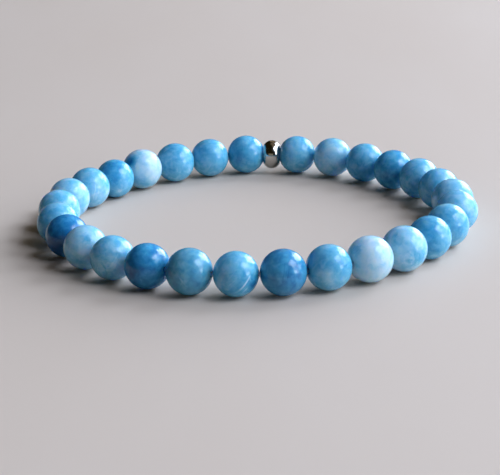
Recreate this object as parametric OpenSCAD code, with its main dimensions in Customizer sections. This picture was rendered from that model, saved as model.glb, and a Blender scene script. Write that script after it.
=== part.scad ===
// Gemstone bead bracelet: round blue stone beads and one silver rondelle on an elastic cord.
// It lies flat, as it comes off the wrist. The origin is under its middle, on the surface it
// lies on, +Z is up and the silver rondelle is at the +Y side. Sizes are in millimetres.

/* [Stone beads] */
// Nominal diameter of a stone bead
bead_d = 6; // [5:0.5:10]
// Number of stone beads
bead_count = 29; // [21:1:40]
// How much of the list's difference in size each stone has, 0 for equal stones
size_spread = 1; // [0:0.1:1]
// Diameter of the hole drilled through a stone bead
drill_d = 0.8; // [0.8:0.05:1.5]
// Width of the bevel round each mouth of the hole
drill_bevel = 0.05; // [0.05:0.05:0.3]
// Gap between neighbours on the cord, which the eye sees as touching
bead_gap = 0.03; // [0.02:0.01:0.1]

/* [Silver rondelle] */
// Length along the cord
spacer_len = 2.6; // [2.4:0.1:3]
// Largest diameter
spacer_d = 4.5; // [4:0.1:4.6]
// Diameter of its flat ends
spacer_end_d = 3; // [2.8:0.1:3.2]
// Diameter of its hole, wide enough to hide the knot
spacer_hole_d = 2; // [1.5:0.05:2.1]
// Width of the bevel round each mouth of its hole
spacer_bevel = 0.1; // [0.05:0.01:0.2]

/* [Elastic cord] */
// Diameter of the cord
cord_d = 0.6; // [0.4:0.05:0.6]
// Diameter of the pulled knot inside the rondelle
knot_d = 1.3; // [0.9:0.1:1.3]
// Length of the knot along the cord
knot_len = 1.2; // [1:0.1:1.3]

/* [How the loop lies] */
// Direction of the first stone from the middle, from +X towards +Y
first_angle = 76.5; // [0:0.5:360]
// How far the loop is drawn out into an oval
oval = 0.45; // [0:0.05:2]
// Direction of the oval's long axis
oval_angle = 68; // [0:1:180]
// How far the loop bulges in three places, a third of a turn apart
three_bulge = 0.25; // [0:0.05:0.5]
// How far the loop bulges in four places, a quarter of a turn apart
four_bulge = 0.35; // [0:0.05:0.5]
// Direction of the bulges that fall together, behind the rondelle
bulge_angle = 85; // [0:1:360]
// The stone that the cord holds a little off the surface, counted from the rondelle
raised_stone = 8; // [1:1:29]
// How far it is off the surface
raised_by = 0.25; // [0:0.05:0.3]

/* [Hidden] */
// Facets of a round form, all of them true round surfaces
$fn = 96;
// Sides of the cord's section
CORD_SIDES = 8;
// Share of a stone's radius, either side of its centre, where the cord runs straight in the hole
STRAIGHT_SHARE = 0.98;
// Halvings of the search for the loop's mean radius
SEARCH_STEPS = 40;
// How far a cutting shape runs past what it cuts
CUT = 1;

// The colours of the stone by name, of the rondelle and of the cord
TONES = [
    ["milky", "#c9dbe9"],
    ["mist", "#a5c6db"],
    ["sky", "#84bbd8"],
    ["mid", "#5f9fc3"],
    ["deep", "#3f7fa8"],
    ["dark", "#2c6188"]
];
SILVER = "#c8c8ca";
CLEAR = "#e8edf0";

// The stones in order from the rondelle, clockwise from above.
// Columns: tone, size above the nominal diameter, place outside the loop's curve (mm)
STONES = [
    ["sky", -0.1, 0],
    ["mist", 0.05, 0],
    ["mid", 0, 0],
    ["deep", 0.05, -0.1],
    ["mid", 0.05, 0],
    ["mid", 0, 0],
    ["mist", 0.1, 0.1],
    ["sky", -0.1, 0.25],
    ["sky", -0.05, -0.1],
    ["sky", -0.1, -0.2],
    ["mist", 0.1, 0],
    ["milky", 0.1, 0.1],
    ["sky", -0.05, 0],
    ["deep", 0, 0],
    ["sky", -0.15, -0.2],
    ["mid", 0.05, 0],
    ["deep", -0.05, 0],
    ["mist", -0.1, 0],
    ["milky", -0.05, 0],
    ["dark", -0.1, 0],
    ["mid", -0.05, 0],
    ["sky", 0, 0],
    ["sky", 0, 0.2],
    ["sky", 0, 0],
    ["mid", -0.15, -0.1],
    ["milky", 0.15, 0.2],
    ["mid", 0.05, 0],
    ["sky", -0.05, -0.1],
    ["mid", 0, 0]
];
TONE = 0;
SIZE = 1;
PLACE = 2;

// Row of the list for the stone at one place; a longer string starts the list again
function stone(i) = STONES[i % len(STONES)];
function stone_r(i) = (bead_d + size_spread * stone(i)[SIZE]) / 2;
// Height of a stone's centre: it lies on the surface unless the cord holds it off
function stone_z(i) = stone_r(i) + (i + 1 == raised_stone ? raised_by : 0);
function next_place(i) = (i + 1) % bead_count;

// A stone sits in the mouth of the rondelle's hole: distance from its centre to the mouth's rim
function seat_depth(r) = sqrt(pow(r, 2) - pow(spacer_hole_d / 2 + spacer_bevel, 2));

// Distance from one stone's centre to the next, across the rondelle after the last stone
function pitch(i) = i < bead_count - 1
    ? stone_r(i) + bead_gap + stone_r(i + 1)
    : seat_depth(stone_r(i)) + spacer_len + 2 * bead_gap + seat_depth(stone_r(0));
function sum_to(i) = i < 0 ? 0 : pitch(i) + sum_to(i - 1);
loop_len = sum_to(bead_count - 1);

// Direction of a stone by its share of the string, and the loop's departure from a circle there
function share_angle(i) = first_angle - 360 * sum_to(i - 1) / loop_len;
function lobe(i, count, height, angle) = height * cos(count * (share_angle(i) - angle));
DEPARTURE = [for (i = [0:bead_count - 1])
    lobe(i, 2, oval, oval_angle) + lobe(i, 3, three_bulge, bulge_angle)
    + lobe(i, 4, four_bulge, bulge_angle) + stone(i)[PLACE]];

// Angle at the middle between two stones, by the law of cosines, for a given mean radius
function turn_between(i, mean) =
    let (a = mean + DEPARTURE[i], b = mean + DEPARTURE[next_place(i)])
    acos((a * a + b * b - pow(pitch(i), 2)) / (2 * a * b));
function turns_to(i, mean) = i < 0 ? 0 : turn_between(i, mean) + turns_to(i - 1, mean);

// Mean radius at which the string closes, found by halving: a circle's radius is its length
// over 2 pi, so it lies between an eighth and a quarter of the length
function closing_radius(low, high, steps) =
    let (mid = (low + high) / 2)
    steps == 0 ? mid
    : turns_to(bead_count - 1, mid) > 360 ? closing_radius(mid, high, steps - 1)
    : closing_radius(low, mid, steps - 1);
mean_r = closing_radius(loop_len / 8, loop_len / 4, SEARCH_STEPS);

// Centres about the middle of the loop, then about the middle of its outline
POLAR = [for (i = [0:bead_count - 1])
    let (angle = first_angle - turns_to(i - 1, mean_r))
    (mean_r + DEPARTURE[i]) * [cos(angle), sin(angle)]];
function low_side(axis) = min([for (i = [0:bead_count - 1]) POLAR[i][axis] - stone_r(i)]);
function high_side(axis) = max([for (i = [0:bead_count - 1]) POLAR[i][axis] + stone_r(i)]);
MIDDLE = [low_side(0) + high_side(0), low_side(1) + high_side(1)] / 2;
CENTRES = [for (i = [0:bead_count - 1])
    [POLAR[i][0] - MIDDLE[0], POLAR[i][1] - MIDDLE[1], stone_z(i)]];

// Direction of the hole in a stone: half way between the ways to its two neighbours
function unit(v) = v / norm(v);
function way_on(i) = unit(CENTRES[next_place(i)] - CENTRES[i]);
WAYS = [for (i = [0:bead_count - 1]) unit(way_on(i) + way_on((i + bead_count - 1) % bead_count))];

// The rondelle hangs on the cord between the last stone and the first, a gap away from both
LAST = bead_count - 1;
SPACER_SHARE = (seat_depth(stone_r(LAST)) + bead_gap + spacer_len / 2) / pitch(LAST);
SPACER_AT = CENTRES[LAST] + SPACER_SHARE * (CENTRES[0] - CENTRES[LAST]);
SPACER_WAY = way_on(LAST);

BEAD_NAMES = [for (i = [1:bead_count]) str("bead_", i < 10 ? "0" : "", i)];

// Puts a form made along Z where it belongs, with its Z along a way
module set_along(place, way) {
    translate(place) rotate([0, acos(way[2]), atan2(way[1], way[0])]) children();
}

// The shape of a hole along Z, bevelled at both mouths, to take out of a form from -end to end
module drilled_hole(d, end, bevel) {
    wide = d / 2 + bevel + CUT;
    rotate_extrude()
        polygon([[0, -end - CUT], [wide, -end - CUT], [d / 2, bevel - end],
                 [d / 2, end - bevel], [wide, end + CUT], [0, end + CUT]]);
}

// One polished stone, drilled for the cord
module stone_bead(i) {
    r = stone_r(i);
    mouth_at = sqrt(pow(r, 2) - pow(drill_d / 2 + drill_bevel, 2));
    color(TONES[search([stone(i)[TONE]], TONES)[0]][1])
        set_along(CENTRES[i], WAYS[i])
            difference() {
                sphere(r = r);
                drilled_hole(drill_d, mouth_at, drill_bevel);
            }
}

// The rondelle: a crown that is one arc from end face to end face, turned about the cord
module spacer_bead() {
    rise = (spacer_d - spacer_end_d) / 2;
    crown_r = (pow(spacer_len / 2, 2) + pow(rise, 2)) / (2 * rise);
    color(SILVER)
        set_along(SPACER_AT, SPACER_WAY)
            difference() {
                rotate_extrude()
                    intersection() {
                        translate([spacer_d / 2 - crown_r, 0]) circle(r = crown_r);
                        translate([0, -spacer_len / 2]) square([spacer_d, spacer_len]);
                    }
                drilled_hole(spacer_hole_d, spacer_len / 2, spacer_bevel);
            }
}

// Rings of the cord in order: centre, way and radius
CORD_STONES = [for (i = [0:bead_count - 1], side = [-1, 1])
    [CENTRES[i] + side * STRAIGHT_SHARE * stone_r(i) * WAYS[i], WAYS[i], cord_d / 2]];
CORD_KNOT = [for (share = [-1 / 2, -1 / 4, 1 / 4, 1 / 2])
    [SPACER_AT + share * knot_len * SPACER_WAY, SPACER_WAY, (abs(share) < 1 / 3 ? knot_d : cord_d) / 2]];
CORD_RINGS = concat(CORD_STONES, CORD_KNOT);

// The cord: one closed tube through every hole, with the knot as a swelling in the rondelle
module elastic_cord() {
    count = len(CORD_RINGS);
    points = [for (ring = CORD_RINGS, s = [0:CORD_SIDES - 1])
        let (angle = 360 * (s + 1 / 2) / CORD_SIDES, side = unit([-ring[1][1], ring[1][0], 0]))
        ring[0] + ring[2] * (cos(angle) * side + sin(angle) * cross(ring[1], side))];
    faces = [for (k = [0:count - 1], s = [0:CORD_SIDES - 1])
        let (here = k * CORD_SIDES, on = ((k + 1) % count) * CORD_SIDES, t = (s + 1) % CORD_SIDES)
        each [[here + s, on + s, on + t], [here + s, on + t, here + t]]];
    color(CLEAR) polyhedron(points, faces);
}

for (i = [0:bead_count - 1])
    stone_bead(i);
spacer_bead();
elastic_cord();
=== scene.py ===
"""Gemstone bead bracelet: the looks of its stones, rondelle and cord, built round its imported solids."""

import math
from collections import namedtuple

import bpy
import numpy as np
from bpy.props import FloatProperty, IntProperty, PointerProperty, StringProperty
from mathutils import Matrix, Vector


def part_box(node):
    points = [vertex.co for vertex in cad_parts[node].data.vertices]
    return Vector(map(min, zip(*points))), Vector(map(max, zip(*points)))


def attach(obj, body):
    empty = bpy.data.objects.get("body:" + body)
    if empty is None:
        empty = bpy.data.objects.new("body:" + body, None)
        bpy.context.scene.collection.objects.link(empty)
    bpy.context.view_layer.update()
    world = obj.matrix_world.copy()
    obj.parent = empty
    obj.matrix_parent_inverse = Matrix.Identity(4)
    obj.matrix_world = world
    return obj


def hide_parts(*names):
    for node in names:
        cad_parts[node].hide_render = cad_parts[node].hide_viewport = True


bl_info = {
    "name": "Gemstone Bead Bracelet",
    "version": (1, 0, 0),
    "blender": (4, 5, 0),
    "location": "3D View > Sidebar > Bracelet",
    "description": "Polished stone beads, a silver rondelle and an elastic cord on a pale floor",
    "category": "Add Mesh",
}

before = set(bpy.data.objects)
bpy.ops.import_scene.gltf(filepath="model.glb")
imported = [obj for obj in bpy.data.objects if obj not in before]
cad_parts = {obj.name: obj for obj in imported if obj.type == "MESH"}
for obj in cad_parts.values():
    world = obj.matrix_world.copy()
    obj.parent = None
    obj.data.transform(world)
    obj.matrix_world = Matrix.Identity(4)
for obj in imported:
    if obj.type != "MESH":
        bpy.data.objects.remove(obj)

MM = 0.001
BEAD_NODES = sorted(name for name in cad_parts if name.startswith("bead_"))
SPACER_NODE = "spacer_bead"
CORD_NODE = "elastic_cord"
BODY = "root"


# The stones' looks, charted and corrected side by side with the photograph

# A stone's look. Depth is how deep its blue is, from 0, milky white, to 1, the darkest blue.
# Clouds and patches are (right, up, spread, depth added): a cloud is soft, a patch has a ragged edge.
# Veins are (right, up, spread, strength, lean in degrees, bend): bend is the radius that they curve
# at, to the left of their way, and a strength below 0 makes them dark. Grey is the share of
# grey-green rock between the blue crystals.
# Places, spreads and bends are as the camera sees the stone, in shares of the stone's radius.
# Some charted clouds are in part painted light and shade: paler clouds at the upper left of some stones
# are painted light, and deeper ones at the lower left or bottom are painted shade.
Stone = namedtuple("Stone", "depth clouds patches veins grey", defaults=((), (), (), 0))

# One row a stone, clockwise from above, from the right of the rondelle
STONES = (
    # Its paler upper-left cloud is in part painted light
    Stone(0.45, clouds=((-0.5, 0.4, 0.45, -0.14), (0.5, -0.4, 0.4, -0.05))),
    Stone(0.32, clouds=((-0.4, -0.4, 0.6, -0.08), (-0.3, 0.4, 0.5, -0.04), (0.5, -0.3, 0.5, 0.02))),
    Stone(0.47, clouds=((-0.5, -0.4, 0.5, 0.13), (-0.3, 0.5, 0.4, -0.04), (0.2, -0.6, 0.4, 0.03))),
    Stone(0.58, clouds=((-0.4, -0.5, 0.5, 0.10), (0.3, 0.5, 0.5, -0.05), (0.2, -0.5, 0.4, 0.03))),
    Stone(0.41, clouds=((0.6, 0.5, 0.5, -0.10), (-0.2, -0.5, 0.6, 0.07), (-0.4, 0.4, 0.4, -0.04))),
    Stone(0.45, clouds=((-0.6, -0.4, 0.5, -0.06), (0.1, 0.7, 0.4, -0.12))),
    Stone(0.34, clouds=((-0.8, -0.2, 0.5, -0.10), (0.4, 0.5, 0.4, 0.05), (0.0, 0.6, 0.4, -0.04))),
    Stone(0.38, clouds=((0.5, 0.0, 0.5, -0.02), (-0.4, 0.4, 0.5, -0.07))),
    Stone(0.38, clouds=((-0.2, 0.1, 0.4, -0.05), (-0.3, 0.6, 0.6, 0.05), (0.5, -0.3, 0.6, 0.09)),
          grey=0.05),
    Stone(0.46, clouds=((0.3, -0.5, 0.6, 0.08), (-0.3, 0.5, 0.5, 0.04)), grey=0.05),
    Stone(0.25, clouds=((-0.1, 0.85, 0.3, -0.08), (0.0, 0.1, 0.3, 0.01), (-0.4, -0.45, 0.3, 0.02),
                        (0.5, -0.5, 0.45, 0.08)),
          patches=((0.60, -0.42, 0.62, 0.18), (-0.95, 0.1, 0.30, 0.14), (-0.40, 0.50, 0.34, 0.11))),
    Stone(0.14, clouds=((-0.1, 0.15, 0.35, -0.10), (-0.1, 0.6, 0.3, -0.05), (0.5, 0.2, 0.4, 0.04),
                        (-0.2, -0.7, 0.35, -0.06)),
          patches=((-0.58, 0.40, 0.32, 0.22), (-0.55, -0.28, 0.26, 0.12), (0.55, -0.10, 0.28, 0.14))),
    Stone(0.44, clouds=((-0.1, 0.3, 0.6, 0.04), (0.5, -0.4, 0.4, 0.04), (0.0, 0.8, 0.3, -0.06),
                        (-0.36, -0.25, 0.22, -0.22), (-0.02, -0.30, 0.16, -0.12),
                        (-0.02, -0.58, 0.20, -0.20)), grey=0.06),
    Stone(0.66, clouds=((-0.5, 0.3, 0.4, -0.05),),
          veins=((0.12, 0.0, 0.4, -0.3, 82, 4.0),), grey=0.10),
    # Its paler upper-left cloud is in part painted light
    Stone(0.45, clouds=((-0.50, 0.4, 0.4, -0.12), (0.75, -0.45, 0.34, 0.34), (0.0, -0.5, 0.4, 0.04)),
          veins=((0.52, -0.40, 0.52, 1.4, 56, 2.4),)),
    Stone(0.52, clouds=((-0.5, 0.2, 0.3, -0.10), (0.1, -0.6, 0.5, 0.12), (0.0, 0.7, 0.4, -0.10),
                        (0.1, 0.1, 0.4, -0.05), (-0.65, -0.45, 0.35, 0.14)),
          patches=((-0.92, 0.05, 0.40, 0.30), (-0.30, -0.42, 0.28, -0.18)),
          veins=((-0.35, -0.5, 0.5, 0.30, -50, 2.0),), grey=0.22),
    # Its deeper lower-left cloud is in part painted shade on its shaded side
    Stone(0.67, clouds=((-0.65, -0.35, 0.55, 0.22), (0.6, -0.3, 0.5, -0.05), (0.0, 0.8, 0.35, -0.10))),
    Stone(0.40, clouds=((-0.4, 0.4, 0.5, -0.02), (0.5, -0.4, 0.4, -0.14), (0.0, 0.1, 0.4, -0.04)),
          patches=((0.05, -0.25, 0.40, -0.14), (-0.5, -0.5, 0.35, -0.16)),
          veins=((0.2, -0.1, 0.3, 0.3, 60, 3.0),)),
    Stone(0.29, clouds=((-0.1, -0.1, 0.4, -0.12), (-0.2, -0.7, 0.5, 0.06), (0.4, -0.2, 0.3, 0.06)),
          patches=((0.1, 0.45, 0.40, 0.20),)),
    # Its deeper lower-left cloud is in part painted shade on its shaded side, reaching the night shade
    Stone(0.74, clouds=((-0.6, -0.5, 0.55, 0.40), (0.2, 0.6, 0.5, -0.10))),
    Stone(0.41, clouds=((-0.7, -0.2, 0.5, 0.12), (0.3, 0.4, 0.5, -0.04))),
    Stone(0.33, clouds=((-0.7, 0.1, 0.5, 0.14), (0.0, 0.7, 0.4, 0.10), (0.2, -0.2, 0.4, -0.04))),
    # Its paler upper-left cloud is in part painted light
    Stone(0.27, clouds=((0.5, -0.4, 0.5, 0.07), (-0.6, 0.4, 0.45, -0.18), (0.0, 0.8, 0.35, 0.12))),
    Stone(0.36, clouds=((0.5, -0.3, 0.5, -0.12), (-0.4, 0.3, 0.5, 0.05)),
          veins=((0.35, -0.2, 0.4, 0.5, 80, 2.5),)),
    Stone(0.49, clouds=((-0.4, 0.3, 0.6, 0.02), (0.55, -0.35, 0.35, -0.14), (0.0, 0.8, 0.4, 0.08)),
          patches=((0.2, -0.66, 0.22, -0.20),)),
    # Its deeper bottom cloud is in part painted shade
    Stone(0.15, clouds=((-0.6, -0.5, 0.5, 0.22), (0.1, -0.8, 0.4, 0.27), (0.55, -0.35, 0.35, -0.12)),
          patches=((-0.62, 0.36, 0.36, 0.60), (-0.1, 0.75, 0.3, 0.18))),
    # Its paler upper-left cloud is in part painted light
    Stone(0.46, clouds=((-0.2, -0.6, 0.5, 0.03), (-0.5, 0.3, 0.5, -0.04), (0.55, -0.4, 0.4, -0.12))),
    Stone(0.43, clouds=((0.1, -0.6, 0.5, -0.06), (-0.5, -0.3, 0.4, 0.04), (0.0, 0.7, 0.4, 0.04))),
    Stone(0.52, clouds=((-0.6, -0.2, 0.5, 0.07), (0.2, 0.3, 0.5, -0.05), (0.0, 0.8, 0.4, -0.10))),
)

# The sides that the camera doesn't see get clouds of the same kind, drawn at random: how many, their
# least and most spread, the most depth they add or take, and how far a random direction of length
# about 1 to 2 is pushed away from the camera
HIDDEN_CLOUDS = 4
HIDDEN_SPREAD = (0.3, 0.7)
HIDDEN_DEPTH = 0.16
HIDDEN_PUSH = 1.5
HIDDEN_SEED = 6

UP = np.array([0.0, 0.0, 1.0])

# A Mix node's sockets for colours: its two inputs and its output
MIX_A, MIX_B, MIX_OUT = 6, 7, 2


def box_of(node):
    """Middle and half size of a node's box, as arrays in metres."""
    low, high = (np.array(corner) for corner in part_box(node))
    return (low + high) / 2, (high - low) / 2


def unit(v):
    """The vector at length 1, along the last axis of an array."""
    return v / np.linalg.norm(v, axis=-1, keepdims=True)


class Loop:
    """The string of stones as the frame holds it: centres, radii and the way of each hole."""

    def __init__(self):
        boxes = [box_of(name) for name in BEAD_NODES]
        self.centres = np.array([middle for middle, _ in boxes])
        self.radii = np.array([half[2] for _, half in boxes])
        on = unit(np.roll(self.centres, -1, axis=0) - self.centres)
        self.ways = unit(on + np.roll(on, 1, axis=0))
        self.spacer_at = box_of(SPACER_NODE)[0]
        self.spacer_way = on[-1]


loop = Loop()


def square_to(way):
    """Two unit vectors square to a way and to each other: a level one and one that points up."""
    side = unit(np.cross(UP, way))
    return side, np.cross(way, side)


def linear(code):
    """An sRGB hex colour as the linear red, green, blue and alpha that a shader takes."""
    srgb = np.array([int(code[k:k + 2], 16) for k in (1, 3, 5)]) / 255
    toe = srgb / 12.92
    curve = ((srgb + 0.055) / 1.055) ** 2.4
    return (*np.where(srgb <= 0.04045, toe, curve), 1.0)


def add_node(tree, kind, links=None, **settings):
    """Adds a node. Settings name its properties or, as a dict under inputs, its sockets' values;
    links maps its input sockets to the output sockets that feed them."""
    node = tree.nodes.new(kind)
    for socket, value in settings.pop("inputs", {}).items():
        node.inputs[socket].default_value = value
    for name, value in settings.items():
        setattr(node, name, value)
    for socket, source in (links or {}).items():
        tree.links.new(source, node.inputs[socket])
    return node


def new_material(name):
    """An empty material and its node tree."""
    material = bpy.data.materials.new(name)
    material.use_nodes = True
    material.node_tree.nodes.clear()
    return material, material.node_tree


def new_mesh(name, points, faces, smooth=True):
    """A mesh object at the origin from arrays of points and faces."""
    mesh = bpy.data.meshes.new(name)
    mesh.from_pydata(points.tolist(), [], faces.tolist())
    mesh.polygons.foreach_set("use_smooth", np.full(len(faces), smooth))
    mesh.update()
    thing = bpy.data.objects.new(name, mesh)
    bpy.context.scene.collection.objects.link(thing)
    return thing


def closed_grid_faces(rows, columns):
    """Faces of a grid of rows by columns points that closes on itself both ways."""
    k, s = np.meshgrid(np.arange(rows), np.arange(columns), indexing="ij")
    on, beside = (k + 1) % rows, (s + 1) % columns
    corners = (k * columns + s, on * columns + s, on * columns + beside, k * columns + beside)
    return np.stack(corners, axis=-1).reshape(-1, 4)


def turned_form(name, profile, place, way, around):
    """A form turned about the line through place along way. Each profile point (along, out) goes to
    place + along * way + out * (cos a * side + sin a * up) for the angles a of a full turn.
    The profile is closed and runs so that the form's faces point outwards."""
    angle = np.linspace(0, 2 * math.pi, around, endpoint=False)
    side, up = square_to(way)
    ring = np.cos(angle)[:, None] * side + np.sin(angle)[:, None] * up
    along, out = profile[:, 0, None, None], profile[:, 1, None, None]
    points = (place + along * way + out * ring).reshape(-1, 3)
    return new_mesh(name, points, closed_grid_faces(len(profile), around))


def arc(centre, radius, start, end, steps):
    """Points (along, out) on an arc, at angles in radians from the +along direction."""
    a = np.linspace(start, end, steps)
    return np.stack([centre[0] + radius * np.cos(a), centre[1] + radius * np.sin(a)], axis=-1)


def replace_node(thing, node, material):
    """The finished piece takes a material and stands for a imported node."""
    thing.data.materials.append(material)
    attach(thing, BODY)
    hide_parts(node)


# Stone beads

# Points on the curve of a stone's bevel, its ends included, and the power of that curve: 1 would be
# a flat bevel, and more lets it run smoothly into the wall of the hole
STONE_BEND_STEPS = 6
STONE_BEND_POWER = 1.5


def drilled_ball_profile(radius, hole, bevel, steps):
    """Outline of a drilled ball, as (along, out): an arc of the ball from one mouth to the other,
    then a rounded bevel into the straight wall of the hole, and back along it to the first mouth."""
    mouth = math.asin((hole + bevel) / radius)
    ball = arc((0, 0), radius, mouth, math.pi - mouth, steps)
    mouth_at = radius * math.cos(mouth)
    turned = np.sin(np.linspace(0, math.pi / 2, STONE_BEND_STEPS)[1:-1])
    rounded = np.stack([mouth_at - bevel * turned,
                        hole + bevel * (1 - turned) ** STONE_BEND_POWER], axis=-1)
    wall = np.array([(s * (mouth_at - bevel), hole) for s in (-1, -0.5, 0, 0.5, 1)])
    left = rounded * (-1, 1)
    return np.concatenate([ball, left, wall, rounded[::-1]])


def view_axes(place, eye, right):
    """Unit vectors right, up and towards the camera, as the camera sees a thing at place."""
    towards = unit(eye - place)
    level = unit(right - (right @ towards) * towards)
    return level, np.cross(towards, level), towards


def seen_direction(axes, right, up):
    """Direction from a ball's centre to the point of it that shows at right, up, in radii."""
    return axes[0] * right + axes[1] * up + axes[2] * math.sqrt(1 - right * right - up * up)


def soft_disc(directions, centre, spread):
    """1 at centre on the unit ball, falling off as a bell curve with the straight-line distance."""
    return np.exp(-(np.linalg.norm(directions - centre, axis=1) / spread) ** 2)


def vein_places(flat, vein):
    """Places in a bundle of curved veins, in radii: how far across it, and how far along it. A vein is
    a circle round a centre that lies a bend to the left of the bundle's middle."""
    right, up, _, _, lean, bend = vein
    lean = math.radians(lean)
    centre = np.array([right - bend * math.sin(lean), up + bend * math.cos(lean)])
    from_centre = flat[:, :2] - centre
    turn = np.arctan2(from_centre[:, 1], from_centre[:, 0]) - (lean - math.pi / 2)
    turn = (turn + math.pi) % (2 * math.pi) - math.pi
    return np.stack([np.linalg.norm(from_centre, axis=1) - bend, bend * turn, flat[:, 2]], axis=1)


def paint_stone(thing, place, radius, axes, stone, rng):
    """Writes the stone's look to its points: the depth of its blue, which some charted clouds shift with
    painted light and shade, its ragged patches, and the strength of its veins with each point's place in
    their bundle."""
    count = len(thing.data.vertices)
    points = np.empty(count * 3)
    thing.data.vertices.foreach_get("co", points)
    inside = points.reshape(-1, 3) - place
    directions = unit(inside)
    fields = {"depth": np.full(count, stone.depth), "deeper": np.zeros(count), "paler": np.zeros(count),
              "vein": np.zeros(count), "grey": np.full(count, stone.grey)}
    for right, up, spread, change in stone.clouds:
        fields["depth"] += change * soft_disc(directions, seen_direction(axes, right, up), spread)
    for _ in range(HIDDEN_CLOUDS):
        away = unit(rng.normal(size=3) - HIDDEN_PUSH * axes[2])
        spread = rng.uniform(*HIDDEN_SPREAD)
        change = rng.uniform(-HIDDEN_DEPTH, HIDDEN_DEPTH)
        fields["depth"] += change * soft_disc(directions, away, spread)
    for right, up, spread, change in stone.patches:
        disc = soft_disc(directions, seen_direction(axes, right, up), spread)
        fields["deeper" if change > 0 else "paler"] += abs(change) * disc
    bundle = np.zeros((count, 3))
    for vein in stone.veins:
        right, up, spread, strength = vein[:4]
        fields["vein"] += strength * soft_disc(directions, seen_direction(axes, right, up), spread)
        bundle = vein_places(inside @ np.stack(axes, axis=1) / radius, vein)
    for name, values in fields.items():
        add_field(thing.data, name, "FLOAT", values)
    add_field(thing.data, "bundle", "FLOAT_VECTOR", bundle * radius)


def add_field(mesh, name, kind, values):
    """Stores one value a point in the mesh, for the material to read."""
    field = mesh.attributes.new(name, kind, "POINT")
    field.data.foreach_set("vector" if kind == "FLOAT_VECTOR" else "value", values.ravel())


# Pectolite's refractive index is 1.6, turned down here to the stones' soft gloss. Light of each of the
# three colours spreads this far in it, in glow depths, blue the furthest.
STONE_IOR = 1.45
GLOW_SPREAD = (0.35, 0.75, 1.0)
# A noise's values: nearly all lie between the first two, and most between the second two
NOISE_LEAST, NOISE_MOST = 0.25, 0.75
NOISE_LOW, NOISE_HIGH = 0.3, 0.7
# How ragged the clouds and the mottling are
CLOUD_GRAIN = {"Detail": 3, "Distortion": 1.2}
MOTTLE_GRAIN = {"Detail": 4, "Distortion": 0.6}
# How far wisps shift a patch's strength, and the strengths between which the patch comes in
WISP_SHIFT = 0.12
PATCH_EDGE = (0.06, 0.18)
# The noise's values between which a vein comes in, and how much the veins change towards the inside
# of the stone, as a share of how much they change from one to the next
VEIN_EDGE = (0.55, 0.62)
VEIN_INWARD = 0.3
# Least and most roughness of the polish, in shares of the setting
GLOSS_SPREAD = (0.7, 1.3)
# Where each shade lies on the scale of depth
SHADES = (("milky", 0.0), ("mist", 0.25), ("sky", 0.42), ("mid", 0.56), ("deep", 0.72), ("dark", 0.87),
          ("night", 1.0))


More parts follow.
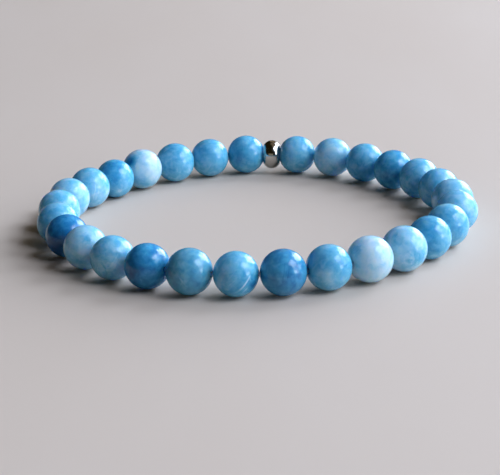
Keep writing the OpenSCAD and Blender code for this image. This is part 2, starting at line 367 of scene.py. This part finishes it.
def polished_pectolite(settings):
    """Blue pectolite, cut and tumbled to a gloss: a translucent, clouded stone with silky fibres.
    The noise clouds come from its crystals' packing, the charted depth holds some painted light and
    shade, and light goes a little way in before it comes out."""
    material, tree = new_material("polished_pectolite")
    place = add_node(tree, "ShaderNodeTexCoord").outputs["Object"]
    fields = {name: add_node(tree, "ShaderNodeAttribute", attribute_name=name).outputs["Fac"]
              for name in ("depth", "deeper", "paler", "vein", "grey")}

    # The stone's depth of blue, with the painted light and shade of some charted clouds, shifted by
    # clouds of two sizes
    depth = fields["depth"]
    for size, shift, grain in ((settings.cloud_size, settings.cloud_depth, CLOUD_GRAIN),
                               (settings.mottle_size, settings.mottle_depth, MOTTLE_GRAIN)):
        noise = add_node(tree, "ShaderNodeTexNoise", {"Vector": place},
                         inputs={"Scale": 1 / size, **grain})
        clouds = add_node(tree, "ShaderNodeMapRange", {"Value": noise.outputs["Fac"]},
                          inputs={"From Min": NOISE_LEAST, "From Max": NOISE_MOST,
                                  "To Min": -shift / 2, "To Max": shift / 2})
        depth = add_node(tree, "ShaderNodeMath", {0: depth, 1: clouds.outputs["Result"]},
                         operation="ADD").outputs[0]

    # Patches, with an edge that wisps make ragged
    noise = add_node(tree, "ShaderNodeTexNoise", {"Vector": place},
                     inputs={"Scale": 1 / settings.wisp_size, "Detail": 3.5, "Distortion": 1.8})
    wisps = add_node(tree, "ShaderNodeMapRange", {"Value": noise.outputs["Fac"]},
                     inputs={"From Min": NOISE_LOW, "From Max": NOISE_HIGH,
                             "To Min": -WISP_SHIFT, "To Max": WISP_SHIFT})
    for name, sign in (("deeper", 1), ("paler", -1)):
        ragged = add_node(tree, "ShaderNodeMath", {0: fields[name], 1: wisps.outputs["Result"]},
                          operation="ADD")
        patch = add_node(tree, "ShaderNodeMapRange", {"Value": ragged.outputs[0]},
                         interpolation_type="SMOOTHSTEP",
                         inputs={"From Min": PATCH_EDGE[0], "From Max": PATCH_EDGE[1], "To Max": sign})
        depth = add_node(tree, "ShaderNodeMath",
                         {0: patch.outputs["Result"], 1: fields[name], 2: depth},
                         operation="MULTIPLY_ADD").outputs[0]

    # Veins, drawn out along their bundle
    bundle = add_node(tree, "ShaderNodeAttribute", attribute_name="bundle").outputs["Vector"]
    stretched = add_node(tree, "ShaderNodeMapping", {"Vector": bundle},
                         inputs={"Scale": (1, settings.vein_gap / settings.vein_length, VEIN_INWARD)})
    noise = add_node(tree, "ShaderNodeTexNoise", {"Vector": stretched.outputs[0]},
                     inputs={"Scale": 1 / settings.vein_gap, "Detail": 1.5, "Distortion": 0.2})
    veins = add_node(tree, "ShaderNodeMapRange", {"Value": noise.outputs["Fac"]},
                     inputs={"From Min": VEIN_EDGE[0], "From Max": VEIN_EDGE[1],
                             "To Max": -settings.vein_depth})
    depth = add_node(tree, "ShaderNodeMath",
                     {0: veins.outputs["Result"], 1: fields["vein"], 2: depth},
                     operation="MULTIPLY_ADD").outputs[0]

    # The blue of that depth, with grey rock between the crystals
    colours = add_node(tree, "ShaderNodeValToRGB", {"Fac": depth})
    ramp = colours.color_ramp
    ramp.elements.remove(ramp.elements[1])
    for k, (shade, position) in enumerate(SHADES):
        stop = ramp.elements.new(position) if k else ramp.elements[0]
        stop.position = position
        stop.color = linear(getattr(settings, shade))
    stone_colour = add_node(tree, "ShaderNodeMix",
                            {"Factor": fields["grey"], MIX_A: colours.outputs["Color"]},
                            data_type="RGBA", inputs={MIX_B: linear(settings.matrix)})

    # The polish: a gloss that differs a little from place to place, on soft ripples
    noise = add_node(tree, "ShaderNodeTexNoise", {"Vector": place},
                     inputs={"Scale": 1 / settings.mottle_size, "Detail": 3})
    gloss = add_node(tree, "ShaderNodeMapRange", {"Value": noise.outputs["Fac"]},
                     inputs={"From Min": NOISE_LOW, "From Max": NOISE_HIGH,
                             "To Min": settings.roughness * GLOSS_SPREAD[0],
                             "To Max": settings.roughness * GLOSS_SPREAD[1]})
    noise = add_node(tree, "ShaderNodeTexNoise", {"Vector": place},
                     inputs={"Scale": 1 / settings.ripple_size, "Detail": 2})
    ripple = add_node(tree, "ShaderNodeBump", {"Height": noise.outputs["Fac"]},
                      inputs={"Strength": 1.0, "Distance": settings.ripple_height})
    surface = add_node(
        tree, "ShaderNodeBsdfPrincipled",
        {"Base Color": stone_colour.outputs[MIX_OUT], "Roughness": gloss.outputs["Result"],
         "Normal": ripple.outputs["Normal"]},
        inputs={"IOR": STONE_IOR, "Subsurface Weight": settings.translucency,
                "Subsurface Radius": GLOW_SPREAD, "Subsurface Scale": settings.glow_depth})
    add_node(tree, "ShaderNodeOutputMaterial", {"Surface": surface.outputs["BSDF"]})
    return material


class StoneSettings(bpy.types.PropertyGroup):
    around: IntProperty(name="Sides", description="Points round each stone's hole", default=96, min=16)
    steps: IntProperty(name="Steps", description="Points from mouth to mouth", default=60, min=12)
    hole: FloatProperty(name="Hole", description="Diameter of the drilled hole",
                        default=0.8 * MM, subtype="DISTANCE")
    bevel: FloatProperty(name="Bevel", description="Width of the bevel at the hole's mouths",
                         default=0.05 * MM, subtype="DISTANCE")
    milky: StringProperty(name="Milky", description="Colour of the whitest stone", default="#cedfeb")
    mist: StringProperty(name="Mist", description="Colour of pale grey-blue stone", default="#9ccbe2")
    sky: StringProperty(name="Sky", description="Colour of sky-blue stone", default="#6cb6d4")
    mid: StringProperty(name="Mid", description="Colour of mid-blue stone", default="#459fc6")
    deep: StringProperty(name="Deep", description="Colour of deep blue stone", default="#277fb1")
    dark: StringProperty(name="Dark", description="Colour of dark blue stone", default="#1c6596")
    night: StringProperty(name="Night", description="Colour of the darkest stone", default="#0c4c7e")
    matrix: StringProperty(name="Matrix", description="Colour of the rock between the crystals",
                           default="#748e7c")
    cloud_size: FloatProperty(name="Cloud size", description="Width of the soft clouds",
                              default=3.0 * MM, subtype="DISTANCE")
    cloud_depth: FloatProperty(name="Cloud depth", description="How far clouds shift the blue",
                               default=0.20)
    mottle_size: FloatProperty(name="Mottle size", description="Width of the fine mottling",
                               default=0.8 * MM, subtype="DISTANCE")
    mottle_depth: FloatProperty(name="Mottle depth", description="How far mottling shifts the blue",
                                default=0.20)
    wisp_size: FloatProperty(name="Wisp size", description="Width of the wisps at a patch's edge",
                             default=1.5 * MM, subtype="DISTANCE")
    vein_gap: FloatProperty(name="Vein gap", description="Distance from one vein to the next",
                            default=0.40 * MM, subtype="DISTANCE")
    vein_length: FloatProperty(name="Vein length", description="Length of a vein",
                               default=12.0 * MM, subtype="DISTANCE")
    vein_depth: FloatProperty(name="Vein depth", description="How far a vein whitens the blue",
                              default=0.30)
    ripple_size: FloatProperty(name="Ripple size", description="Width of the polish's soft ripples",
                               default=0.35 * MM, subtype="DISTANCE")
    ripple_height: FloatProperty(name="Ripple height", description="Height of the polish's ripples",
                                 default=0.020 * MM, subtype="DISTANCE")
    roughness: FloatProperty(name="Roughness", description="Roughness of the polish",
                             default=0.13, min=0, max=1, subtype="FACTOR")
    translucency: FloatProperty(name="Translucency", description="Share of light that goes in",
                                default=1.0, min=0, max=1, subtype="FACTOR")
    glow_depth: FloatProperty(name="Glow depth", description="How far light spreads in the stone",
                              default=4.0 * MM, subtype="DISTANCE")


class BRACELET_OT_stone_beads(bpy.types.Operator):
    """Makes the round drilled stones, each with its own clouds, patches and veins"""

    bl_idname = "bracelet.stone_beads"
    bl_label = "Stone Beads"

    def execute(self, context):
        settings = context.scene.bracelet_stones
        eye, right, _, _ = camera_axes(context.scene.bracelet_stage)
        material = polished_pectolite(settings)
        rng = np.random.default_rng(HIDDEN_SEED)
        for node, place, radius, way, look in zip(
                BEAD_NODES, loop.centres, loop.radii, loop.ways, STONES, strict=True):
            profile = drilled_ball_profile(radius, settings.hole / 2, settings.bevel, settings.steps)
            stone = turned_form("stone_" + node, profile, place, way, settings.around)
            paint_stone(stone, place, radius, view_axes(place, eye, right), look, rng)
            replace_node(stone, node, material)
        return {"FINISHED"}


# Silver rondelle

# Points on its crown, round its hole and on the curve of its bevel
RONDELLE_STEPS = 40
RONDELLE_AROUND = 96
RONDELLE_BEND_STEPS = 5
# Points of its rounded outer edge, as (in from the end face, in from the crown's rim), those of the
# end face as distances from the hole, and how far the hole's wall points stay inside the end faces,
# all in widths of the bevel
RONDELLE_EDGE = ((0.1, 0.4), (0, 0.9))
RONDELLE_FACE = (1.6, 1.1)
RONDELLE_WALL_IN = 2
# Width of the silver's buffing marks, and the least and most roughness in shares of the setting
BUFFING_SIZE = 0.3 * MM
BUFFING_SPREAD = (0.6, 1.4)


def rondelle_profile(length, width, end_width, hole, bevel, steps):
    """Outline of half the rondelle's section, as (along, out): a crown that is one arc between the
    flat ends, a rounded edge at each end, the end face, a rounded bevel and the wall of the hole."""
    half, rise = length / 2, (width - end_width) / 2
    crown = (half * half + rise * rise) / (2 * rise)
    reach = math.asin((half - bevel / 2) / crown)
    top = arc((0, width / 2 - crown), crown, math.pi / 2 - reach, math.pi / 2 + reach, steps)
    rim = top[0, 1]
    soft = np.array([(half - back * bevel, rim - inward * bevel) for back, inward in RONDELLE_EDGE])
    face = np.array([(half, hole / 2 + away * bevel) for away in RONDELLE_FACE])
    bend = np.linspace(0, math.pi / 2, RONDELLE_BEND_STEPS)
    mouth = np.stack([half - bevel * (1 - np.cos(bend)),
                      hole / 2 + bevel * (1 - np.sin(bend))], axis=-1)
    right = np.concatenate([soft, face, mouth])
    wall = np.array([(s * (half - RONDELLE_WALL_IN * bevel), hole / 2) for s in (-1, 0, 1)])
    return np.concatenate([top, right * (-1, 1), wall, right[::-1]])


def polished_silver(settings):
    """Silver, turned and buffed to a mirror: neutral, very slightly warm, with fine buffing marks."""
    material, tree = new_material("polished_silver")
    place = add_node(tree, "ShaderNodeTexCoord").outputs["Object"]
    marks = add_node(tree, "ShaderNodeTexNoise", {"Vector": place},
                     inputs={"Scale": 1 / BUFFING_SIZE, "Detail": 3})
    gloss = add_node(tree, "ShaderNodeMapRange", {"Value": marks.outputs["Fac"]},
                     inputs={"To Min": settings.roughness * BUFFING_SPREAD[0],
                             "To Max": settings.roughness * BUFFING_SPREAD[1]})
    surface = add_node(tree, "ShaderNodeBsdfPrincipled", {"Roughness": gloss.outputs["Result"]},
                       inputs={"Base Color": linear(settings.silver), "Metallic": 1.0})
    add_node(tree, "ShaderNodeOutputMaterial", {"Surface": surface.outputs["BSDF"]})
    return material


class RondelleSettings(bpy.types.PropertyGroup):
    length: FloatProperty(name="Length", description="Length along the cord",
                          default=2.6 * MM, subtype="DISTANCE")
    width: FloatProperty(name="Width", description="Largest diameter",
                         default=4.5 * MM, subtype="DISTANCE")
    end_width: FloatProperty(name="End width", description="Diameter of the flat ends",
                             default=3.0 * MM, subtype="DISTANCE")
    hole: FloatProperty(name="Hole", description="Diameter of the hole",
                        default=2.0 * MM, subtype="DISTANCE")
    bevel: FloatProperty(name="Bevel", description="Width of the rounded edges",
                         default=0.1 * MM, subtype="DISTANCE")
    silver: StringProperty(name="Silver", description="Colour of the metal", default="#bdb9b3")
    roughness: FloatProperty(name="Roughness", description="Roughness of the polish",
                             default=0.15, min=0, max=1, subtype="FACTOR")


class BRACELET_OT_rondelle(bpy.types.Operator):
    """Makes the polished silver rondelle between the last stone and the first"""

    bl_idname = "bracelet.rondelle"
    bl_label = "Silver Rondelle"

    def execute(self, context):
        settings = context.scene.bracelet_rondelle
        profile = rondelle_profile(settings.length, settings.width, settings.end_width,
                                   settings.hole, settings.bevel, RONDELLE_STEPS)
        rondelle = turned_form("silver_rondelle", profile, loop.spacer_at, loop.spacer_way,
                               RONDELLE_AROUND)
        replace_node(rondelle, SPACER_NODE, polished_silver(settings))
        return {"FINISHED"}


# Elastic cord

# Sides of the cord's section
CORD_SIDES = 20
# Places of the knot's rings along it, in knot lengths from its middle. Those nearer than the second
# number are as wide as the knot, the others as the cord.
KNOT_PLACES = np.array([-0.5, -0.25, 0.25, 0.5])
KNOT_WIDE_TO = 0.4
# Polyurethane: its refractive index, how clear the cord is, the least and most roughness of its
# skin, and the width of the dull places on it
CORD_IOR = 1.5
CORD_CLEARNESS = 0.9
CORD_ROUGHNESS = (0.2, 0.4)
BLOOM_SIZE = 0.5 * MM


def cord_rings(settings):
    """Centres, ways and radii of the cord's rings: two in each stone's hole, where it runs straight,
    and four in the rondelle, the middle two as wide as the knot."""
    reach = (settings.straight_share * loop.radii)[:, None] * loop.ways
    centres = np.stack([loop.centres - reach, loop.centres + reach], axis=1).reshape(-1, 3)
    ways = np.repeat(loop.ways, 2, axis=0)
    radii = np.full(len(centres), settings.width / 2)
    knot = loop.spacer_at + KNOT_PLACES[:, None] * settings.knot_length * loop.spacer_way
    knot_radii = np.where(abs(KNOT_PLACES) < KNOT_WIDE_TO, settings.knot_width, settings.width) / 2
    centres = np.concatenate([centres, knot])
    ways = np.concatenate([ways, np.repeat(loop.spacer_way[None], len(KNOT_PLACES), axis=0)])
    return centres, ways, np.concatenate([radii, knot_radii])


def clear_elastic(settings):
    """Polyurethane stretch cord, extruded smooth and clear, so that the stones' blue shows in it. Its
    faint blue tint is painted light: the stones' blue in the shaded gaps where it shows.
    """
    material, tree = new_material("clear_elastic")
    place = add_node(tree, "ShaderNodeTexCoord").outputs["Object"]
    bloom = add_node(tree, "ShaderNodeTexNoise", {"Vector": place},
                     inputs={"Scale": 1 / BLOOM_SIZE, "Detail": 2})
    gloss = add_node(tree, "ShaderNodeMapRange", {"Value": bloom.outputs["Fac"]},
                     inputs={"To Min": CORD_ROUGHNESS[0], "To Max": CORD_ROUGHNESS[1]})
    surface = add_node(tree, "ShaderNodeBsdfPrincipled", {"Roughness": gloss.outputs["Result"]},
                       inputs={"Base Color": linear(settings.colour), "IOR": CORD_IOR,
                               "Transmission Weight": CORD_CLEARNESS})
    add_node(tree, "ShaderNodeOutputMaterial", {"Surface": surface.outputs["BSDF"]})
    return material


class CordSettings(bpy.types.PropertyGroup):
    width: FloatProperty(name="Width", description="Diameter of the cord",
                         default=0.6 * MM, subtype="DISTANCE")
    knot_width: FloatProperty(name="Knot width", description="Diameter of the pulled knot",
                              default=1.3 * MM, subtype="DISTANCE")
    knot_length: FloatProperty(name="Knot length", description="Length of the knot",
                               default=1.2 * MM, subtype="DISTANCE")
    straight_share: FloatProperty(name="Straight share",
                                  description="Share of a stone's radius where the cord is straight",
                                  default=0.98, min=0, max=1, subtype="FACTOR")
    # The cord's faint blue tint is painted light, the stones' blue in the shaded gaps
    colour: StringProperty(name="Colour", description="Colour of the cord", default="#e4f1f8")


class BRACELET_OT_cord(bpy.types.Operator):
    """Makes the clear elastic cord, one closed tube through every hole"""

    bl_idname = "bracelet.cord"
    bl_label = "Elastic Cord"

    def execute(self, context):
        settings = context.scene.bracelet_cord
        centres, ways, radii = cord_rings(settings)
        # A ring is a circle about its centre, square to its way: centre + radius * (cos a * side +
        # sin a * up). Its faces are turned round to point outwards.
        angle = np.linspace(0, 2 * math.pi, CORD_SIDES, endpoint=False)[None, :, None]
        side, up = (each[:, None, :] for each in square_to(ways))
        ring = np.cos(angle) * side + np.sin(angle) * up
        points = centres[:, None, :] + radii[:, None, None] * ring
        faces = closed_grid_faces(len(centres), CORD_SIDES)[:, ::-1]
        cord = new_mesh("clear_cord", points.reshape(-1, 3), faces)
        replace_node(cord, CORD_NODE, clear_elastic(settings))
        return {"FINISHED"}


# Stage

# Half the floor's width, and the nearest and furthest that the camera sees
FLOOR_REACH = 1.5
CLIP_NEAR, CLIP_FAR = 0.01, 10
# Width of the drift of tone in the table, how it is drawn out along Y, and the varnish's sheen
DRIFT_SIZE = 30 * MM
DRIFT_STRETCH = (1, 0.3, 1)
TABLE_ROUGHNESS = 0.6
TABLE_SPECULAR = 0.3


def camera_axes(settings):
    """The camera's place and its right, up and back vectors. It looks along +Y, turned down by its
    pitch and then rolled about its line of sight."""
    pitch, roll = settings.pitch, settings.roll
    forward = np.array([0.0, math.cos(pitch), -math.sin(pitch)])
    level = np.array([1.0, 0.0, 0.0])
    down = np.cross(forward, level)
    right = math.cos(roll) * level + math.sin(roll) * down
    up = math.sin(roll) * level - math.cos(roll) * down
    place = np.array([settings.aside, -settings.back, settings.height])
    return place, right, up, -forward


def pale_table(settings):
    """Pale planed birch under a matt varnish, left plain: only a faint drift of tone shows."""
    material, tree = new_material("pale_table")
    place = add_node(tree, "ShaderNodeTexCoord").outputs["Object"]
    stretched = add_node(tree, "ShaderNodeMapping", {"Vector": place}, inputs={"Scale": DRIFT_STRETCH})
    drift = add_node(tree, "ShaderNodeTexNoise", {"Vector": stretched.outputs[0]},
                     inputs={"Scale": 1 / DRIFT_SIZE, "Detail": 4})
    tones = add_node(tree, "ShaderNodeMix", {"Factor": drift.outputs["Fac"]}, data_type="RGBA",
                     inputs={MIX_A: linear(settings.table_low), MIX_B: linear(settings.table_high)})
    surface = add_node(tree, "ShaderNodeBsdfPrincipled", {"Base Color": tones.outputs[MIX_OUT]},
                       inputs={"Roughness": TABLE_ROUGHNESS, "Specular IOR Level": TABLE_SPECULAR})
    add_node(tree, "ShaderNodeOutputMaterial", {"Surface": surface.outputs["BSDF"]})
    return material


def add_window(name, direction, distance, width, height, power, colour):
    """A soft rectangular light that faces the bracelet from a direction, given as degrees from +X
    towards +Y and degrees above the floor."""
    turn, rise = (math.radians(a) for a in direction)
    away = np.array([math.cos(rise) * math.cos(turn), math.cos(rise) * math.sin(turn), math.sin(rise)])
    lamp = bpy.data.lights.new(name, "AREA")
    lamp.shape = "RECTANGLE"
    lamp.size, lamp.size_y = width, height
    lamp.energy = power
    lamp.color = linear(colour)[:3]
    thing = bpy.data.objects.new(name, lamp)
    across = unit(np.cross(UP, away))
    thing.matrix_world = matrix_from(away * distance, across, np.cross(away, across), away)
    bpy.context.scene.collection.objects.link(thing)


def matrix_from(place, right, up, back):
    """The world matrix of a thing at place with these three axes, as a list of its columns."""
    columns = np.stack([right, up, back, place], axis=1)
    return np.concatenate([columns, [[0, 0, 0, 1]]]).T.tolist()


# The window's panes, where the stones' highlights show them, and the dim light of the room round them.
# Columns: name, direction, distance, width, height (m), power (W), colour
WINDOWS = (
    ("left_high", (-21, 47), 1.2, 0.63, 0.56, 10.8, "#d9e8ff"),
    ("left_low", (-16, 26), 1.2, 0.86, 0.25, 3.2, "#d9e8ff"),
    ("left_sill", (-26, 11), 1.2, 0.40, 0.28, 3.4, "#e6eeff"),
    ("middle_high", (10, 42), 1.2, 0.32, 0.60, 2.0, "#d9e8ff"),
    ("middle_low", (8, 14), 1.2, 0.75, 0.27, 2.6, "#e6eeff"),
    ("right_high", (38, 35), 1.2, 0.58, 0.40, 8.8, "#d9e8ff"),
    ("right_low", (52, 16), 1.2, 0.70, 0.40, 8.9, "#e0ecff"),
    ("room_front", (-100, 12), 1.5, 1.70, 0.42, 0.75, "#f0e7d2"),
    ("room_back", (76, 30), 1.5, 1.00, 0.80, 0.7, "#ffe4c4"),
    ("ceiling", (35, 68), 1.6, 1.60, 1.00, 0.9, "#ffe4c4"),
)


class StageSettings(bpy.types.PropertyGroup):
    lens: FloatProperty(name="Lens", description="Focal length in millimetres on a 36 mm sensor",
                        default=111.09)
    pitch: FloatProperty(name="Pitch", description="How far the camera looks down",
                         default=math.radians(18.203), subtype="ANGLE")
    roll: FloatProperty(name="Roll", description="How far the camera is rolled",
                        default=math.radians(1.24), subtype="ANGLE")
    aside: FloatProperty(name="Aside", description="Camera's place in X",
                         default=-1.03 * MM, subtype="DISTANCE")
    back: FloatProperty(name="Back", description="Camera's distance in front of the middle",
                        default=211.05 * MM, subtype="DISTANCE")
    height: FloatProperty(name="Height", description="Camera's height over the floor",
                          default=67.7 * MM, subtype="DISTANCE")
    table_low: StringProperty(name="Table, darker", description="Darker tone of the floor",
                              default="#cab9aa")
    table_high: StringProperty(name="Table, lighter", description="Lighter tone of the floor",
                               default="#d0c1b4")
    room: StringProperty(name="Room", description="Colour of the dim room", default="#221d0a")
    room_strength: FloatProperty(name="Room strength", description="Brightness of the room",
                                 default=1.0)


class BRACELET_OT_stage(bpy.types.Operator):
    """Makes the pale floor, the soft light and the camera at the photograph's angle"""

    bl_idname = "bracelet.stage"
    bl_label = "Stage"

    def execute(self, context):
        settings = context.scene.bracelet_stage
        scene = context.scene
        corners = np.array([(-1, -1, 0), (1, -1, 0), (1, 1, 0), (-1, 1, 0)]) * FLOOR_REACH
        floor = new_mesh("floor", corners, np.array([[0, 1, 2, 3]]), smooth=False)
        floor.data.materials.append(pale_table(settings))
        for row in WINDOWS:
            add_window(*row)
        world = bpy.data.worlds.new("room")
        world.use_nodes = True
        world.node_tree.nodes.clear()
        glow = add_node(world.node_tree, "ShaderNodeBackground",
                        inputs={"Color": linear(settings.room), "Strength": settings.room_strength})
        add_node(world.node_tree, "ShaderNodeOutputWorld", {"Surface": glow.outputs[0]})
        scene.world = world
        camera = bpy.data.cameras.new("camera")
        camera.lens = settings.lens
        camera.clip_start, camera.clip_end = CLIP_NEAR, CLIP_FAR
        thing = bpy.data.objects.new("camera", camera)
        thing.matrix_world = matrix_from(*camera_axes(settings))
        scene.collection.objects.link(thing)
        scene.camera = thing
        scene.view_settings.view_transform = "Standard"
        return {"FINISHED"}


class BRACELET_PT_panel(bpy.types.Panel):
    """Lists the pieces and their settings"""

    bl_label = "Gemstone Bead Bracelet"
    bl_space_type = "VIEW_3D"
    bl_region_type = "UI"
    bl_category = "Bracelet"

    def draw(self, context):
        for operator, group in PIECES:
            column = self.layout.box().column()
            column.operator(operator.bl_idname)
            settings = getattr(context.scene, group)
            for name in settings.__annotations__:
                column.prop(settings, name)


PIECES = (
    (BRACELET_OT_stone_beads, "bracelet_stones"),
    (BRACELET_OT_rondelle, "bracelet_rondelle"),
    (BRACELET_OT_cord, "bracelet_cord"),
    (BRACELET_OT_stage, "bracelet_stage"),
)
GROUPS = {
    "bracelet_stones": StoneSettings,
    "bracelet_rondelle": RondelleSettings,
    "bracelet_cord": CordSettings,
    "bracelet_stage": StageSettings,
}
CLASSES = (*GROUPS.values(), *(operator for operator, _ in PIECES), BRACELET_PT_panel)


def register():
    for each in CLASSES:
        bpy.utils.register_class(each)
    for name, group in GROUPS.items():
        setattr(bpy.types.Scene, name, PointerProperty(type=group))


def unregister():
    for name in GROUPS:
        delattr(bpy.types.Scene, name)
    for each in reversed(CLASSES):
        bpy.utils.unregister_class(each)


def main():
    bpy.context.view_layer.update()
    register()
    for operator, _ in PIECES:
        group, name = operator.bl_idname.split(".")
        getattr(getattr(bpy.ops, group), name)()


if __name__ == "__main__":
    main()
